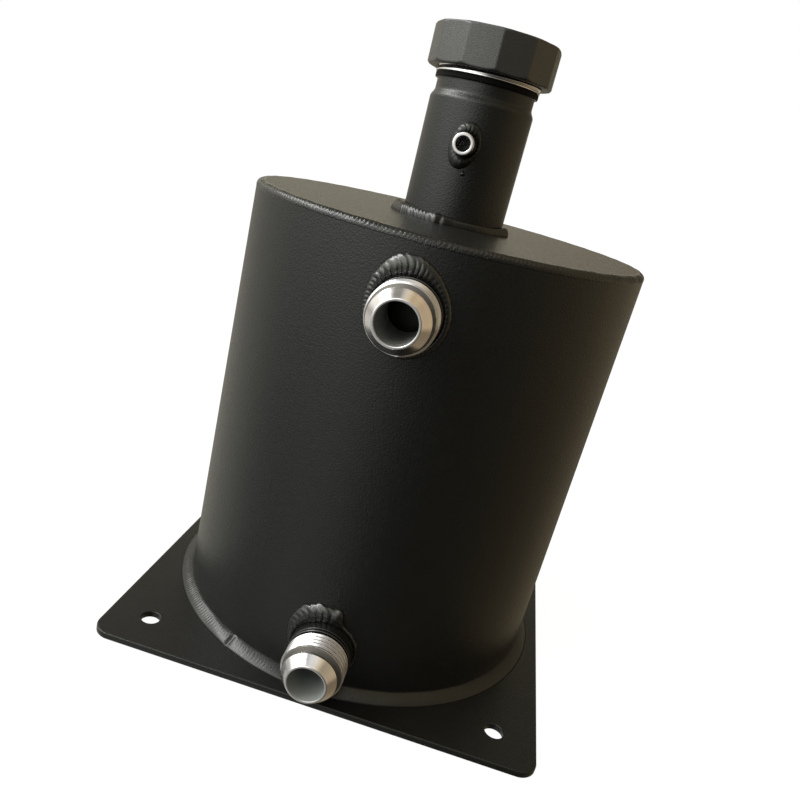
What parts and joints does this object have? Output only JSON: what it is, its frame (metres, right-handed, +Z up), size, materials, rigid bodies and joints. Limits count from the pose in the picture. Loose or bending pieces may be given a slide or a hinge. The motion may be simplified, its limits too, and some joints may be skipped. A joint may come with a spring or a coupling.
{
  "type": "dry sump oil tank",
  "caption": "Round welded oil tank on a square drilled base plate, with a screw-capped filler neck, breather pipe and male hose fittings on the front.",
  "frame": {"origin": "centre of the base plate's underside", "axes": "+Z up along the tank's axis, -Y the way the two hose fittings and the breather pipe point, +X to the right seen from the front"},
  "size_m": [0.2, 0.2139, 0.2772],
  "materials": {
    "black_coat": "satin fine-textured black powder coat on welded aluminium",
    "turned_aluminium": "bright turned",
    "black_anodised": "satin black anodised",
    "seal_rubber": "matt",
    "plain_aluminium": "mill finish sheet"
  },
  "bodies": {
    "tank": {"base_plate": "black_coat", "tank_shell": "black_coat", "top_plate": "black_coat", "top_seam_weld": "black_coat", "base_weld": "black_coat", "filler_neck": "black_coat", "neck_weld": "black_coat", "inlet_weld": "black_coat", "outlet_weld": "black_coat", "vent_weld": "black_coat", "inlet_fitting": "turned_aluminium", "outlet_fitting": "turned_aluminium", "vent_pipe": "turned_aluminium", "lower_baffle": "plain_aluminium", "upper_baffle": "plain_aluminium", "lower_baffle_tabs": "plain_aluminium", "upper_baffle_tabs": "plain_aluminium", "return_deflector": "plain_aluminium"},
    "cap_liner": {"cap_seal": "seal_rubber"},
    "screw_cap": {"filler_cap": "black_anodised"}
  },
  "joints": [
    {"name": "cap_lift", "type": "slide", "parent": "tank", "child": "cap_liner", "axis": [0, 0, 1], "range_m": [0, 0.015]},
    {"name": "cap_turn", "type": "hinge", "parent": "cap_liner", "child": "screw_cap", "pos_m": [0, 0, 0.2612], "axis": [0, 0, 1], "range_deg": [0, 1800]}
  ],
  "couplings": [
    {"joint": "cap_lift", "follows": "cap_turn", "m_per_rad": 0.00047746}
  ]
}
